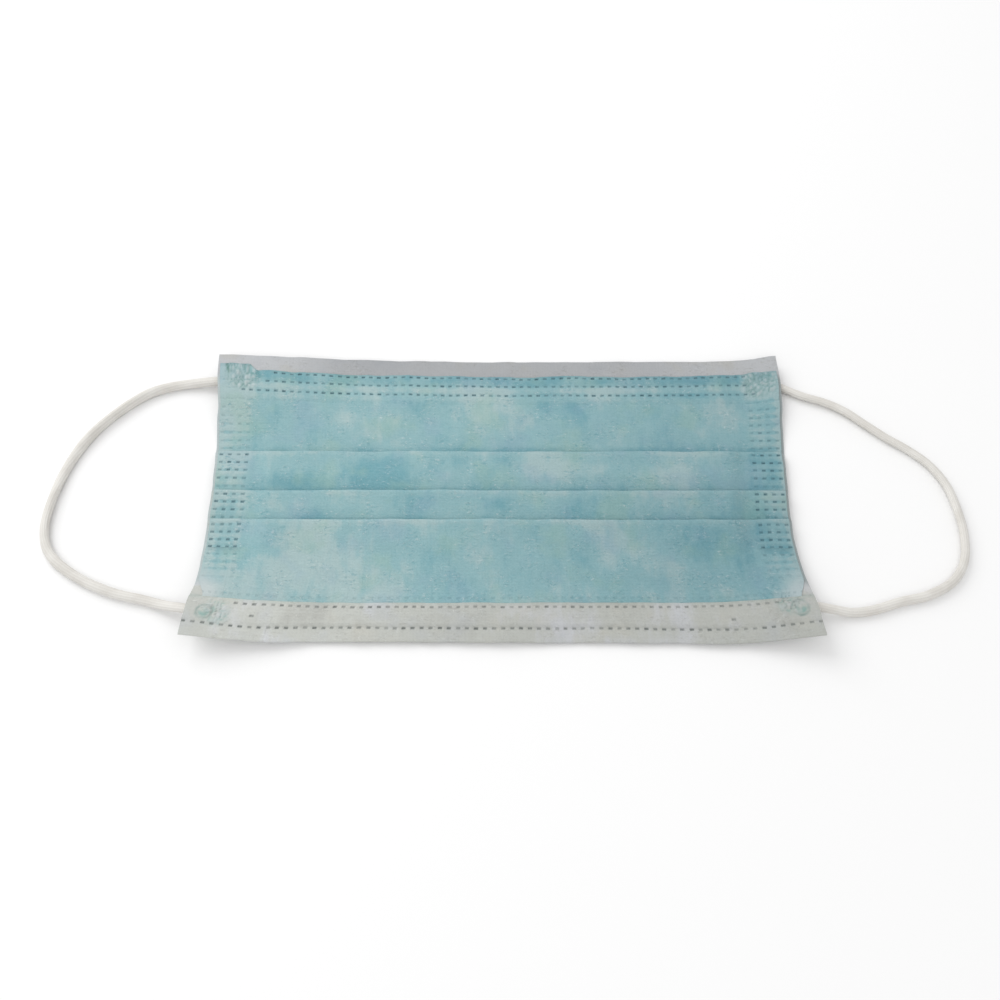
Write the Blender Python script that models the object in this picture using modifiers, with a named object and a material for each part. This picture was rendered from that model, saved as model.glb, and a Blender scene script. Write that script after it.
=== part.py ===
"""A surgical face mask that lies folded flat on a table, outer face up.

Metres, +Z up. The nose edge is at -Y and the chin edge at +Y. The origin is on the surface
that the mask lies on, under the middle of the folded panel. Each sheet is first laid out
flat, with its side edges straight, and drape() then gives it the drawn-in sides and the
raised corners that all the pieces share.
"""
import math
from collections import namedtuple

import bmesh
import bpy
import numpy as np

# The folded mask as a whole
MASK_WIDTH = 0.176  # corner to corner, along X
MASK_HEIGHT = 0.095  # nose edge to chin edge, along Y
WALL = 0.001  # outer ply, filter and inner ply, welded to one wall
LAYER_GAP = 0.00035  # between the folded layers of a pleat
CLEARANCE = 0.0003  # between neighbouring pieces

# Side edges, which the welded pleats draw in
WAIST_DEPTH = 0.004  # how far each side edge lies inside its corners
WAIST_CHIN_RUN = 0.042  # from the chin edge to where the side edge is fully in
WAIST_NOSE_RUN = 0.027  # the same from the nose edge

# Corners, which the ends of the ear loops under them hold up
CORNER_LIFT = 0.0046
LIFT_SHELF = 0.004  # level strip along the side edge
LIFT_CHIN_RUN = 0.044  # along X, from the shelf down to the table, at the chin edge
LIFT_NOSE_RUN = 0.018  # the same at the nose edge, clear of the wire
LIFT_LENGTH = 0.026  # along Y, from the shelf down to the table
LIFT_END = 0.0075  # from the chin or nose edge to where the corner is fully up

# Knife pleats, all folded towards the chin. An edge is a fold's place, as a share of
# MASK_HEIGHT from the middle, and the pleats are listed from the nose to the chin.
Pleat = namedtuple("Pleat", "name edge")
PLEATS = (
    Pleat("lower", -0.113),
    Pleat("middle", -0.009),
    Pleat("upper", 0.139),
)
PLEAT_DEPTH = 0.009  # from a fold's edge back to the fold hidden behind it
SEAL_WIDTH = 0.0115  # weld along each side that fuses the folded layers
SEAL_INSET = 0.0005  # from the side edge to the weld
SEAL_SETBACK = 0.0005  # from the middle of a fold to the weld

# White border beyond the coloured wall at the chin, and white band over the nose edge
CHIN_BORDER = 0.0058  # how far it shows
CHIN_OVERLAP = 0.0062  # how far it reaches under the coloured wall
NOSE_BAND = 0.0109  # width of the band
NOSE_OVERLAP = 0.002  # how far the coloured wall reaches into the band
STEP_RUN = 0.0033  # length over which the wall climbs onto the border

# Bendable wire in the band
WIRE_LENGTH = 0.130
WIRE_WIDTH = 0.003
WIRE_THICKNESS = 0.0006
WIRE_INSET = 0.0065  # from the nose edge to the wire's middle

# Ear loops of round elastic, with pressed ends welded under the corners
CORD_DIAMETER = 0.0028
CORD_RISE_RUN = 0.016  # length over which a loop climbs from the table to its end
CORD_POINT_SPACING = 0.0066
CORD_BEVEL_RESOLUTION = 2
TAB_LENGTH = 0.0075
TAB_WIDTH = 0.0034
TAB_THICKNESS = 0.001
TAB_INSET = 0.003  # from the corner to the tab's outer end
LoopEnd = namedtuple("LoopEnd", "name side edge inset")  # inset is from the chin or nose edge
LOOP_ENDS = (
    LoopEnd("loop_end_chin_left", -1, 1, 0.0079),
    LoopEnd("loop_end_nose_left", -1, -1, 0.0083),
    LoopEnd("loop_end_chin_right", 1, 1, 0.0104),
    LoopEnd("loop_end_nose_right", 1, -1, 0.0100),
)
# Where each loop lies on the table, from its chin end to its nose end
ROUTE_LEFT = (
    (-0.0965, 0.0386), (-0.1035, 0.0373), (-0.1095, 0.0346), (-0.1165, 0.0289),
    (-0.1224, 0.0224), (-0.1271, 0.0146), (-0.1304, 0.0056), (-0.1322, -0.0044),
    (-0.1322, -0.0134), (-0.1288, -0.0209), (-0.1203, -0.0275), (-0.1099, -0.0322),
    (-0.0998, -0.0347), (-0.0925, -0.0370),
)
ROUTE_RIGHT = (
    (0.0928, 0.0342), (0.1001, 0.0315), (0.1058, 0.0283), (0.1113, 0.0236),
    (0.1169, 0.0188), (0.1230, 0.0143), (0.1285, 0.0090), (0.1324, 0.0016),
    (0.1341, -0.0076), (0.1343, -0.0150), (0.1328, -0.0228), (0.1283, -0.0293),
    (0.1208, -0.0335), (0.1129, -0.0354), (0.1043, -0.0380), (0.0985, -0.0388),
    (0.0936, -0.0384),
)

# How finely the sheets are divided
COLUMNS_PER_HALF = 12
ROW_SPACING = 0.006
ROW_MARGIN = 0.0008  # no row of points comes nearer than this to a fold
FOLD_STEPS = 6
ROUTE_STEPS = 12
SMOOTH_ANGLE = math.radians(40)

HALF_WIDTH = MASK_WIDTH / 2
HALF_HEIGHT = MASK_HEIGHT / 2
FLOOR_LAYER = WALL / 2  # height of a wall's middle where it lies on the table
LAYER_PITCH = WALL + LAYER_GAP
BAND_PITCH = WALL + 2 * CLEARANCE + max(WALL, WIRE_THICKNESS)
CHANNEL_LAYER = FLOOR_LAYER + BAND_PITCH / 2  # height of what lies inside the band
BORDER_LAYER = FLOOR_LAYER + WALL + CLEARANCE  # height of the wall on the border
CORD_RADIUS = CORD_DIAMETER / 2

Material = namedtuple("Material", "colour roughness metallic")
MATERIALS = {
    "blue_nonwoven": Material((0.28, 0.47, 0.50), 0.85, 0.0),
    "white_nonwoven": Material((0.56, 0.56, 0.54), 0.85, 0.0),
    "nose_wire_metal": Material((0.70, 0.70, 0.70), 0.45, 1.0),
    "elastic": Material((0.68, 0.66, 0.63), 0.80, 0.0),
}


def ease(share):
    """Smooth step from 0 to 1 while share goes from 0 to 1."""
    share = np.clip(share, 0.0, 1.0)
    return share * share * (3.0 - 2.0 * share)


def side_scale(y):
    """Width of the mask at y, as a share of its width at the corners."""
    drawn_in = ease((HALF_HEIGHT - y) / WAIST_CHIN_RUN) * ease((HALF_HEIGHT + y) / WAIST_NOSE_RUN)
    return 1.0 - WAIST_DEPTH / HALF_WIDTH * drawn_in


def lift(x, y):
    """Height that the raised corners add at a place of the straight-sided layout."""
    run = np.where(np.asarray(y) > 0, LIFT_CHIN_RUN, LIFT_NOSE_RUN)
    along_x = ease(1.0 + (np.abs(x) - (HALF_WIDTH - LIFT_SHELF)) / run)
    along_y = ease(1.0 + (np.abs(y) - (HALF_HEIGHT - LIFT_END)) / LIFT_LENGTH)
    return CORNER_LIFT * along_x * along_y


def drape(points):
    """Turn points of the straight-sided layout into their places on the resting mask."""
    x, y, z = np.asarray(points, dtype=float).T
    return np.stack([x * side_scale(y), y, z + lift(x, y)], axis=1)


def column_places(half_length):
    """Places along X, closer together towards the ends."""
    steps = np.arange(-COLUMNS_PER_HALF, COLUMNS_PER_HALF + 1) / COLUMNS_PER_HALF
    return half_length * np.sin(steps * math.pi / 2)


def row_stops():
    """Places along Y where every layer has a row of points, so that stacked layers match."""
    count = int(HALF_HEIGHT / ROW_SPACING)
    even = [ROW_SPACING * step for step in range(-count, count + 1)]
    edges = pleat_edges()
    hidden = [edge - PLEAT_DEPTH for edge in edges]
    return [stop for stop in even if all(abs(stop - back) > ROW_MARGIN for back in hidden)] + hidden


def pleat_edges():
    return [pleat.edge * MASK_HEIGHT for pleat in PLEATS]


def run(start, end, height):
    """Points of one layer from y = start to y = end, with a point at each stop between."""
    low, high = min(start, end), max(start, end)
    inner = sorted(stop for stop in row_stops() if low + ROW_MARGIN < stop < high - ROW_MARGIN)
    if end < start:
        inner.reverse()
    return [(y, height(y)) for y in [start, *inner, end]]


def half_turn(y, upper, lower, side, downwards=True):
    """Points inside a fold at y that joins two layers and bulges to one side of it."""
    radius = (upper - lower) / 2
    middle = (upper + lower) / 2
    angles = [math.pi * step / FOLD_STEPS for step in range(1, FOLD_STEPS)]
    points = [(y + side * radius * math.sin(a), middle + radius * math.cos(a)) for a in angles]
    return points if downwards else points[::-1]


def layer_below(index, y):
    """Height of the layer that leaves the hidden fold of a pleat and climbs on the next one."""
    if index == len(PLEATS) - 1:
        return FLOOR_LAYER
    edges = pleat_edges()
    back = edges[index] - PLEAT_DEPTH
    next_back = edges[index + 1] - PLEAT_DEPTH
    if y >= next_back:
        return layer_below(index + 1, y) + 2 * LAYER_PITCH
    return FLOOR_LAYER + 2 * LAYER_PITCH * (y - back) / (next_back - back)


def layer_above(index, y):
    """Height of the layer that ends in a pleat's front fold."""
    return layer_below(index - 1, y) if index else layer_below(0, y) + 2 * LAYER_PITCH


def fold_centres(index):
    """Places of the middles of a pleat's hidden fold and of its front fold."""
    edge = pleat_edges()[index]
    reach = LAYER_PITCH / 2 + WALL / 2
    return edge - PLEAT_DEPTH + reach, edge - reach


def panel_path():
    """Middle line of the pleated wall, from inside the nose band to the chin, as (y, z)."""
    mouth = -HALF_HEIGHT + NOSE_BAND
    first_back = pleat_edges()[0] - PLEAT_DEPTH
    slope_start = mouth + CLEARANCE + WALL / 2
    climb = (layer_above(0, first_back) - CHANNEL_LAYER) / (first_back - slope_start)
    path = [(mouth - NOSE_OVERLAP, CHANNEL_LAYER)]
    path += run(slope_start, first_back, lambda y: CHANNEL_LAYER + climb * (y - slope_start))[:-1]
    start = first_back
    for index in range(len(PLEATS)):
        back, front = fold_centres(index)

        def lower(y, index=index):
            return layer_below(index, y)

        def middle(y, index=index):
            return layer_below(index, y) + LAYER_PITCH

        def upper(y, index=index):
            return layer_above(index, y)

        path += run(start, front, upper)
        path += half_turn(front, upper(front), middle(front), 1)
        path += run(front, back, middle)
        path += half_turn(back, middle(back), lower(back), -1)
        start = back
    border_start = HALF_HEIGHT - CHIN_BORDER - CHIN_OVERLAP
    step_end = border_start - CLEARANCE - WALL / 2
    path += run(start, step_end - STEP_RUN, lambda y: FLOOR_LAYER)
    path += run(step_end, HALF_HEIGHT - CHIN_BORDER, lambda y: BORDER_LAYER)
    return path


def band_path():
    """Middle line of the nose band, a flap under the wire, a fold and a flap over it."""
    mouth = -HALF_HEIGHT + NOSE_BAND
    fold = -HALF_HEIGHT + BAND_PITCH / 2 + WALL / 2
    top = FLOOR_LAYER + BAND_PITCH
    path = run(mouth, fold, lambda y: FLOOR_LAYER)
    path += half_turn(fold, top, FLOOR_LAYER, -1, downwards=False)
    path += run(fold, mouth, lambda y: top)
    return path


def flat_path(middle, width, height):
    return run(middle - width / 2, middle + width / 2, lambda y: height)


def make_material(name):
    spec = MATERIALS[name]
    material = bpy.data.materials.new(name)
    material.use_nodes = True
    shader = material.node_tree.nodes["Principled BSDF"]
    shader.inputs["Base Color"].default_value = (*spec.colour, 1.0)
    shader.inputs["Roughness"].default_value = spec.roughness
    shader.inputs["Metallic"].default_value = spec.metallic
    material.diffuse_color = (*spec.colour, 1.0)
    return material


def finish_mesh(mesh, material):
    mesh.materials.append(material)
    mesh.shade_smooth()
    mesh.set_sharp_from_angle(angle=SMOOTH_ANGLE)


def add_sheet(name, columns, path, thickness, material, collection, place=drape):
    """An open surface with a row of points for each point of path, and its thickness."""
    flat = np.array([(x, y, z) for y, z in path for x in columns])
    width = len(columns)
    faces = [
        (row * width + col, row * width + col + 1, (row + 1) * width + col + 1, (row + 1) * width + col)
        for row in range(len(path) - 1)
        for col in range(width - 1)
    ]
    mesh = bpy.data.meshes.new(name)
    mesh.from_pydata(place(flat).tolist(), [], faces)
    finish_mesh(mesh, material)
    sheet = bpy.data.objects.new(name, mesh)
    collection.objects.link(sheet)
    solid = sheet.modifiers.new("thickness", "SOLIDIFY")
    solid.thickness = thickness
    solid.offset = 0.0
    solid.use_even_offset = True
    return sheet


def add_seal_block(index, side, collection):
    """A block inside the folded layers of one pleat, which welds them together at one side."""
    back, front = fold_centres(index)
    outer = HALF_WIDTH - SEAL_INSET
    shape = bmesh.new()
    bmesh.ops.create_cube(shape, size=2.0)
    for vert in shape.verts:
        x = side * (outer if side * vert.co.x > 0 else outer - SEAL_WIDTH)
        y = front - SEAL_SETBACK if vert.co.y > 0 else back + SEAL_SETBACK
        z = layer_below(index, y) + (2 * LAYER_PITCH if vert.co.z > 0 else 0.0)
        vert.co = (x, y, z)
    name = f"seal_{PLEATS[index].name}_{'right' if side > 0 else 'left'}"
    mesh = bpy.data.meshes.new(name)
    shape.to_mesh(mesh)
    shape.free()
    block = bpy.data.objects.new(name, mesh)
    collection.objects.link(block)
    return block


def drape_mesh(mesh):
    """Drape a mesh that was made in the straight-sided layout."""
    shape = bmesh.new()
    shape.from_mesh(mesh)
    bmesh.ops.triangulate(shape, faces=shape.faces)
    for vert, place in zip(shape.verts, drape([vert.co for vert in shape.verts])):
        vert.co = place
    shape.to_mesh(mesh)
    shape.free()


def add_panel(material, parts):
    """The pleated wall, with its folded layers welded together along both sides."""
    columns = column_places(HALF_WIDTH)
    panel = add_sheet("pleated_panel", columns, panel_path(), WALL, material, parts, place=np.asarray)
    blocks = [add_seal_block(index, side, parts) for side in (-1, 1) for index in range(len(PLEATS))]
    for block in blocks:
        weld = panel.modifiers.new(block.name, "BOOLEAN")
        weld.operation = "UNION"
        weld.solver = "EXACT"
        weld.object = block
    evaluated = panel.evaluated_get(bpy.context.evaluated_depsgraph_get())
    welded = bpy.data.meshes.new_from_object(evaluated)
    panel.modifiers.clear()
    panel.data = welded
    for block in blocks:
        bpy.data.objects.remove(block, do_unlink=True)
    drape_mesh(welded)
    return panel


def add_borders(material, parts):
    """The white edges, which are the inner ply where it reaches past the coloured one."""
    columns = column_places(HALF_WIDTH)
    border_width = CHIN_BORDER + CHIN_OVERLAP
    border = flat_path(HALF_HEIGHT - border_width / 2, border_width, FLOOR_LAYER)
    add_sheet("chin_border", columns, border, WALL, material, parts)
    add_sheet("nose_band", columns, band_path(), WALL, material, parts)


def add_wire(material, parts):
    columns = column_places(WIRE_LENGTH / 2)
    path = flat_path(-HALF_HEIGHT + WIRE_INSET, WIRE_WIDTH, CHANNEL_LAYER)
    add_sheet("nose_wire", columns, path, WIRE_THICKNESS, material, parts)


def tab_middle(end):
    """Middle of the line where a tab's outer end lies, before the mask is draped."""
    return end.side * (HALF_WIDTH - TAB_INSET), end.edge * (HALF_HEIGHT - end.inset)


def add_loop_end(end, material, parts):
    """The pressed end of a loop, welded to the inner face under a corner."""
    outer, middle = tab_middle(end)
    columns = sorted((outer, outer - end.side * TAB_LENGTH / 2, outer - end.side * TAB_LENGTH))
    height = -CLEARANCE - TAB_THICKNESS / 2
    path = flat_path(middle, TAB_WIDTH, height)
    add_sheet(end.name, columns, path, TAB_THICKNESS, material, parts)


def loop_end_place(end):
    """Where the round cord meets the outer end of its tab."""
    outer, middle = tab_middle(end)
    start = (outer + end.side * CLEARANCE, middle, -CLEARANCE - CORD_RADIUS)
    return drape([start])[0]


def smooth_curve(points):
    """Dense points on a Catmull-Rom curve through the given ones."""
    points = np.asarray(points, dtype=float)
    padded = np.vstack([2 * points[0] - points[1], points, 2 * points[-1] - points[-2]])
    dense = []
    for a, b, c, d in zip(padded, padded[1:], padded[2:], padded[3:]):
        for step in range(ROUTE_STEPS):
            t = step / ROUTE_STEPS
            dense.append(0.5 * (2 * b + (c - a) * t + (2 * a - 5 * b + 4 * c - d) * t**2
                                + (3 * b - a - 3 * c + d) * t**3))
    dense.append(points[-1])
    return np.array(dense)


def lengths_along(points):
    steps = np.linalg.norm(np.diff(points, axis=0), axis=1)
    return np.concatenate([[0.0], np.cumsum(steps)])


def loop_points(chin_end, nose_end, route):
    """Evenly spaced points of a loop that lies on the table between its two raised ends."""
    ends = [loop_end_place(chin_end), loop_end_place(nose_end)]
    curve = smooth_curve([ends[0][:2], *route, ends[1][:2]])
    travelled = lengths_along(curve)
    total = travelled[-1]
    places = np.linspace(0.0, total, round(total / CORD_POINT_SPACING) + 1)
    x = np.interp(places, travelled, curve[:, 0])
    y = np.interp(places, travelled, curve[:, 1])
    z = np.full(len(places), CORD_RADIUS)
    for end, distance in zip(ends, (places, total - places)):
        z += (end[2] - CORD_RADIUS) * (1.0 - ease(distance / CORD_RISE_RUN))
    return np.stack([x, y, z], axis=1)


def add_loop(name, ends, route, material, parts):
    """An ear loop as a round tube with filled ends."""
    curve = bpy.data.curves.new(name, "CURVE")
    curve.dimensions = "3D"
    curve.bevel_depth = CORD_RADIUS
    curve.bevel_resolution = CORD_BEVEL_RESOLUTION
    curve.use_fill_caps = True
    points = loop_points(*ends, route)
    spline = curve.splines.new("POLY")
    spline.points.add(len(points) - 1)
    spline.use_smooth = True
    for point, place in zip(spline.points, points):
        point.co = (*place, 1.0)
    curve.materials.append(material)
    parts.objects.link(bpy.data.objects.new(name, curve))


def main():
    for old in list(bpy.data.objects):
        bpy.data.objects.remove(old, do_unlink=True)
    parts = bpy.data.collections.new("surgical_face_mask")
    bpy.context.scene.collection.children.link(parts)
    materials = {name: make_material(name) for name in MATERIALS}
    add_panel(materials["blue_nonwoven"], parts)
    add_borders(materials["white_nonwoven"], parts)
    add_wire(materials["nose_wire_metal"], parts)
    for end in LOOP_ENDS:
        add_loop_end(end, materials["elastic"], parts)
    add_loop("ear_loop_left", LOOP_ENDS[:2], ROUTE_LEFT, materials["elastic"], parts)
    add_loop("ear_loop_right", LOOP_ENDS[2:], ROUTE_RIGHT, materials["elastic"], parts)


main()
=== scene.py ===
"""A surgical face mask that lies folded flat on a pale table.

Metres, +Z up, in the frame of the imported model: the nose edge is at -Y, the chin edge at +Y.
Each ply is laid out straight-sided with its pleats, and settle() then gives it the drawn-in
sides, the raised corners and the soft waves that all the plies share.
"""
from collections import namedtuple
from functools import partial
from math import cos, pi, radians, sin

import bpy
import numpy as np
from mathutils import Matrix


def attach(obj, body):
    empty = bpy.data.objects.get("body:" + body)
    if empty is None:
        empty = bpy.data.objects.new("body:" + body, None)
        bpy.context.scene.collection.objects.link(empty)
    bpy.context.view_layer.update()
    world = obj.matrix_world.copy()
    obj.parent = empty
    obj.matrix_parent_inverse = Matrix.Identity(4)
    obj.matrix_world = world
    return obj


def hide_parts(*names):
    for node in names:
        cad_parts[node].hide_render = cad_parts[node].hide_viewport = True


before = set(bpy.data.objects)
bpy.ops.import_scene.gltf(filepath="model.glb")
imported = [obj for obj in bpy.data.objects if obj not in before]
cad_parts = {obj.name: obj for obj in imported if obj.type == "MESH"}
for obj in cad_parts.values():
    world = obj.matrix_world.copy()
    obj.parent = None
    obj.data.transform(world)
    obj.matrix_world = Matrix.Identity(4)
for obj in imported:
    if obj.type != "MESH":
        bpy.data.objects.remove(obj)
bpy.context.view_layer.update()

MM = 0.001

# The mask as a whole, as in part.py
MASK_WIDTH = 0.176
MASK_HEIGHT = 0.095
HALF_WIDTH = MASK_WIDTH / 2
HALF_HEIGHT = MASK_HEIGHT / 2
CLEARANCE = 0.0003
LIFT_LENGTH = 0.026
LIFT_END = 0.0075
PLEAT_EDGES = (-0.113 * MASK_HEIGHT, -0.009 * MASK_HEIGHT, 0.139 * MASK_HEIGHT)
PLEAT_DEPTH = 0.009
CHIN_BORDER = 0.0058
NOSE_BAND = 0.0109
NOSE_OVERLAP = 0.002
WIRE_LENGTH = 0.130
WIRE_WIDTH = 0.003
WIRE_THICKNESS = 0.0006
WIRE_INSET = 0.0065
WIRE_FADE = 0.003  # run of the band's ridge past the wire's end
CORD_DIAMETER = 0.0028
CORD_RADIUS = CORD_DIAMETER / 2
CORD_RISE_RUN = 0.016
TAB_LENGTH = 0.0075
TAB_INSET = 0.003
ROUTE_STEPS = 12
LoopEnd = namedtuple("LoopEnd", "name side edge inset")
LOOP_ENDS = (
    LoopEnd("chin_left", -1, 1, 0.0086),
    LoopEnd("nose_left", -1, -1, 0.0083),
    LoopEnd("chin_right", 1, 1, 0.0087),
    LoopEnd("nose_right", 1, -1, 0.0100),
)
ROUTE_LEFT = (
    (-0.0965, 0.0386), (-0.1035, 0.0373), (-0.1095, 0.0346), (-0.1165, 0.0289),
    (-0.1224, 0.0224), (-0.1271, 0.0146), (-0.1304, 0.0056), (-0.1322, -0.0044),
    (-0.1322, -0.0134), (-0.1288, -0.0209), (-0.1203, -0.0275), (-0.1099, -0.0322),
    (-0.0998, -0.0347), (-0.0925, -0.0370),
)
ROUTE_RIGHT = (
    (0.0928, 0.0342), (0.1001, 0.0315), (0.1058, 0.0283), (0.1113, 0.0236),
    (0.1169, 0.0188), (0.1230, 0.0143), (0.1285, 0.0090), (0.1324, 0.0016),
    (0.1341, -0.0076), (0.1343, -0.0150), (0.1328, -0.0228), (0.1283, -0.0293),
    (0.1208, -0.0335), (0.1129, -0.0354), (0.1043, -0.0380), (0.0985, -0.0388),
    (0.0936, -0.0384),
)

# How the cloth lies, in pairs of millimetres. First how far each side is drawn in, along Y
DRAWN_LEFT = ((-47.5, -0.8), (-42, 0.1), (-38, 0.9), (-33, 1.9), (-28, 2.4), (-19, 2.1), (-12, 2.3),
              (-5, 2.6), (0, 2.3), (8, 2.6), (17, 2.3), (26, 2.1), (32, 1.8), (40, 1.1), (47.5, 0.8))
DRAWN_RIGHT = ((-47.5, 0), (-40, 0.8), (-33, 2.1), (-28, 2.6), (-24, 3.0), (-19, 3.2), (-14, 3.3),
               (-4, 3.0), (6, 2.2), (17, 1.8), (30, 0.8), (40, 0.5), (47.5, 0.8))
# Then how far the chin and nose edges rise towards their corners, along X
CHIN_LIFT = ((-90, 4.4), (-82, 4.0), (-75, 3.5), (-63, 2.4), (-47, 1.1), (-31, 0.5), (-15, 0.1), (0, 0),
             (47, 0.2), (63, 0.45), (75, 0.9), (80, 1.3), (83, 2.3), (85.5, 3.4), (90, 4.0))
NOSE_LIFT = ((-90, 5.9), (-87.7, 5.6), (-83, 4.5), (-80.4, 4.0), (-75.3, 3.1), (-70, 2.0), (-64.5, 1.3),
             (-59.5, 0.65), (-54, 0.15), (-50, 0), (54, 0), (60, 0.15), (64.8, 0.45), (70, 1.1),
             (75.2, 2.3), (80.5, 3.65), (86, 5.3), (90, 5.9))
# And how far the nose edge lies off a straight line, along X
NOSE_SHIFT = ((-90, 0.4), (-84, 0.3), (-78, -0.1), (-69, -0.25), (-60, 0), (-54, 0.4), (-27, 0.3), (0, 0),
              (30, 0.1), (50, -0.3), (58, -0.55), (78, -0.5), (90, -0.2))
SHEAR = -0.0008  # how far the chin edge lies along X from the middle, and the nose edge back
TILT = 0.0003  # how far the folds slope down towards each side from the middle
WAVE_HEIGHT = 0.0005
NOSE_RISE = 0.0005  # the wire holds the nose edge just off the table
PRESS = 0.36  # share of its height that the stack loses under the side welds
PRESS_START, PRESS_RUN = 0.070, 0.006
PRESS_SHIFT = 0.55  # share of that height by which the pressed folds creep towards the chin
DRAW_PER_HEIGHT = 2.6  # how much narrower the upper layers lie, per metre of height
DRAW_RUN = 0.03  # from the middle to where the cloth is drawn in fully
FINE_WAVE_HEIGHT = 0.0001
FINE_WAVE_END, FINE_WAVE_RUN = 0.066, 0.008  # the side welds hold the cloth flat
NOSE_RISE_START, NOSE_RISE_RUN = -0.030, 0.007
NOSE_SHIFT_START, NOSE_SHIFT_RUN = -0.0375, 0.004
TILT_START, TILT_RUN = -0.044, 0.02
UNEVEN_X, UNEVEN_Y = 0.00014, 0.00006  # how far the folds and edges wander

# Plies
PLY = 0.00025
PLY_GAP = 0.0001
PLY_OFFSET = (PLY + PLY_GAP) / 2
PITCH = 0.00115  # between the folded layers of a pleat, in the middle of the mask
FLOOR_LAYER = PLY_OFFSET + PLY / 2 + 0.00004
OUTER_HALF_WIDTH = HALF_WIDTH - 0.0007
MOUTH = -HALF_HEIGHT + NOSE_BAND + 0.0009  # where the folded-over band ends
FOLD_STEPS = 8

# Weld dashes
DASH_PITCH = 0.0025
DASHES = 35  # on each side of the middle one
DASH_REACH = (0.00070, 0.00045)
DASH_CORE = (0.00044, 0.00021)
DASH_EDGES = [(-reach, -core, core, reach) for reach, core in zip(DASH_REACH, DASH_CORE)]
SIDE_FIRST, SIDE_STEP, SIDE_DASHES = 0.0784, 0.00262, 4
PIT_DEPTH, INNER_PIT_DEPTH = 0.00020, 0.00014
FLAP_CRINKLE = 0.00006
SIDE_END = 0.031  # where the side rows end towards the chin
PUFF_HEIGHT = 0.00015
DASH_SEED = 100
# Both strengths run from 0 to 1. A side row has no start or stop, and lies at both sides
WeldRow = namedtuple("WeldRow", "y left right start stop")

# How finely the plies are divided
ROW_SPACING = 0.0018
ROW_MARGIN = 0.00012
COLUMN_MERGE = 0.00007
CORNER_SPACING = 0.00042
CORNER_X = 0.0752
CORNER_Y = (0.0325, 0.0445)
CORNER_MARGIN = 0.001
BENT_X = 0.058  # from here to the corners a dash has a column through its middle
# A row has points in the columns that share one of its flags, and in those for every row
ACROSS, SIDE, CORNER = 1, 2, 4
EVERY_ROW = -1
EVERYWHERE = (-1.0, 1.0)


def ease(share):
    """Smooth step from 0 to 1 while share goes from 0 to 1."""
    share = np.clip(share, 0.0, 1.0)
    return share * share * (3.0 - 2.0 * share)


def bump_at(value, middle, reach):
    """1 at the middle, 0 from reach away."""
    return ease(1 - abs(value - middle) / reach)


def unit(vectors):
    """Vectors in the last axis, each made one long."""
    return vectors / np.linalg.norm(vectors, axis=-1, keepdims=True)


def signed_power(value, power):
    return np.sign(value) * abs(value) ** power


def waves(seed, count, shortest, longest):
    """A smooth field of x and y, mostly between -1 and 1, from random sine waves."""
    random = np.random.default_rng(seed)
    lengths = shortest * (longest / shortest) ** random.random(count)
    angles = random.uniform(0, pi, count)
    phases = random.uniform(0, 2 * pi, count)
    weights = np.sqrt(lengths) / np.sqrt(lengths.sum())

    def field(x, y):
        return sum(weight * np.sin(2 * pi * (np.cos(angle) * x + np.sin(angle) * y) / length + phase)
                   for length, angle, phase, weight in zip(lengths, angles, phases, weights))

    return field


LONG_WAVES = waves(11, 9, 0.022, 0.080)
SHORT_WAVES = waves(12, 12, 0.007, 0.018)
PLANE_WAVES_X = waves(13, 10, 0.005, 0.016)
PLANE_WAVES_Y = waves(14, 10, 0.006, 0.020)
CRINKLES = waves(15, 18, 0.0013, 0.0040)
EDGE_WAVES = waves(16, 10, 0.004, 0.030)


def soft_profile(pairs, softness):
    """A smooth curve along pairs of millimetres, as a function in metres."""
    grid = np.arange(-100.0, 100.5, 0.5)
    steps = np.interp(grid, *zip(*pairs))
    weights = np.hanning(softness + 2)
    soft = np.convolve(np.pad(steps, softness // 2 + 1, mode="edge"), weights / weights.sum(), "valid")
    return lambda place: np.interp(place, grid * MM, soft * MM)


DRAWN_IN = [soft_profile(pairs, 15) for pairs in (DRAWN_LEFT, DRAWN_RIGHT)]
LIFT_AT_CHIN, LIFT_AT_NOSE = soft_profile(CHIN_LIFT, 9), soft_profile(NOSE_LIFT, 5)
SHIFT_AT_NOSE = soft_profile(NOSE_SHIFT, 9)


def side_scale(x, y):
    drawn = np.where(x < 0, DRAWN_IN[0](y), DRAWN_IN[1](y))
    return 1 - drawn / HALF_WIDTH * ease(abs(x) / DRAW_RUN)


def corner_lift(x, y):
    along_y = ease(1 + (abs(y) - (HALF_HEIGHT - LIFT_END)) / LIFT_LENGTH)
    return np.where(y > 0, LIFT_AT_CHIN(x), LIFT_AT_NOSE(x)) * along_y


def cloth_waves(x, y):
    """Height of the soft waves, never below the table."""
    soft = WAVE_HEIGHT * (0.5 + 0.4 * LONG_WAVES(x, y))
    free = 1 - ease((abs(x) - FINE_WAVE_END) / FINE_WAVE_RUN)
    fine = FINE_WAVE_HEIGHT * SHORT_WAVES(x, y) * free
    stiff = NOSE_RISE * ease((NOSE_RISE_START - y) / NOSE_RISE_RUN)
    return np.maximum(soft + fine + stiff, 0.0)


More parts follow.
